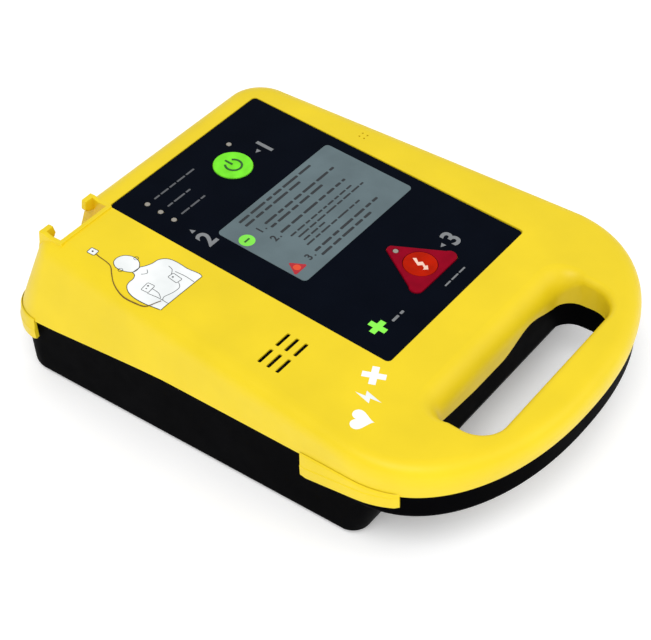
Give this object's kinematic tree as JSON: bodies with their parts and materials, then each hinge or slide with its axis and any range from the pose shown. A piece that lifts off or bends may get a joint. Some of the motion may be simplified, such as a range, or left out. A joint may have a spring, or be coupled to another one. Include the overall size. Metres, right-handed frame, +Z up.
{
  "type": "automated external defibrillator",
  "caption": "Portable automated defibrillator: sloping case with a carrying handle, a sunken keypad with power and shock buttons, an electrode socket and a slide-out battery pack.",
  "frame": {"origin": "on the ground under the middle of the case", "axes": "+Z up, +Y towards the electrode port, +X to the reader's right when the handle is nearest"},
  "size_m": [0.216, 0.3029, 0.089],
  "materials": {
    "yellow_shell": "satin moulded ABS, fine texture",
    "black_shell": "satin moulded ABS",
    "black_rubber": "moulded rubber",
    "membrane_black": "printed polyester overlay",
    "label_grey": "printed matt film",
    "button_green": "backlit gloss plastic",
    "button_red": "gloss plastic",
    "lens_orange": "translucent lens",
    "led_clear": "clear epoxy",
    "socket_amber": "moulded connector body",
    "circuit_board": "solder-masked laminate",
    "component_black": "moulded component body",
    "fastener_steel": "zinc plated",
    "speaker_steel": "pressed steel basket",
    "sink_aluminium": "extruded",
    "contact_brass": "plated contact",
    "winding_copper": "enamelled wire",
    "cone_paper": "coated cone",
    "sleeve_blue": "shrink sleeve",
    "battery_case": "textured case"
  },
  "bodies": {
    "case": {"membrane_panel": "membrane_black", "instruction_label": "label_grey", "status_led_upper": "led_clear", "status_led_middle": "led_clear", "status_led_lower": "led_clear", "power_led": "led_clear", "main_board": "circuit_board", "high_voltage_board": "circuit_board", "board_screw_1": "fastener_steel", "board_screw_2": "fastener_steel", "board_screw_3": "fastener_steel", "board_screw_4": "fastener_steel", "power_board_screw_1": "fastener_steel", "power_board_screw_2": "fastener_steel", "power_board_screw_3": "fastener_steel", "power_board_screw_4": "fastener_steel", "clamp_screw_1": "fastener_steel", "clamp_screw_2": "fastener_steel", "case_screw_1": "fastener_steel", "case_screw_2": "fastener_steel", "case_screw_3": "fastener_steel", "case_screw_4": "fastener_steel", "case_screw_5": "fastener_steel", "case_screw_6": "fastener_steel", "on_off_switch": "component_black", "shock_switch": "component_black", "capacitor_clamp": "component_black", "transformer_core": "component_black", "output_relay": "component_black", "battery_terminal_block": "component_black", "front_housing": "yellow_shell", "corner_guard_handle_left": "yellow_shell", "corner_guard_handle_right": "yellow_shell", "corner_guard_port_left": "yellow_shell", "corner_guard_port_right": "yellow_shell", "rear_housing": "black_shell", "housing_seal": "black_rubber", "speaker_gasket": "black_rubber", "rubber_foot_1": "black_rubber", "rubber_foot_2": "black_rubber", "rubber_foot_3": "black_rubber", "rubber_foot_4": "black_rubber", "speaker_frame": "speaker_steel", "microphone": "speaker_steel", "speaker_cone": "cone_paper", "electrode_socket": "socket_amber", "socket_pin_left": "contact_brass", "socket_pin_right": "contact_brass", "battery_contact_left": "contact_brass", "battery_contact_right": "contact_brass", "high_voltage_capacitor": "sleeve_blue", "transformer_winding": "winding_copper", "heatsink": "sink_aluminium"},
    "on_off": {"on_off_button": "button_green"},
    "shock": {"shock_button": "button_red", "shock_button_lens": "lens_orange", "shock_led": "led_clear"},
    "battery": {"battery_pack": "battery_case"},
    "latch": {"battery_latch": "battery_case"}
  },
  "joints": [
    {"name": "on_off_press", "type": "slide", "parent": "case", "child": "on_off", "axis": [0, 0.0993, -0.9951], "range_m": [0, 0.0009], "stiffness_N_per_m": 900},
    {"name": "shock_press", "type": "slide", "parent": "case", "child": "shock", "axis": [0, 0.0993, -0.9951], "range_m": [0, 0.0009], "stiffness_N_per_m": 1100},
    {"name": "battery_slide", "type": "slide", "parent": "case", "child": "battery", "axis": [0, 1, 0], "range_m": [0, 0.105]},
    {"name": "latch_press", "type": "hinge", "parent": "battery", "child": "latch", "pos_m": [0, 0.1418, 0.015], "axis": [1, 0, 0], "range_deg": [0, 7], "stiffness_Nm_per_rad": 0.15}
  ]
}
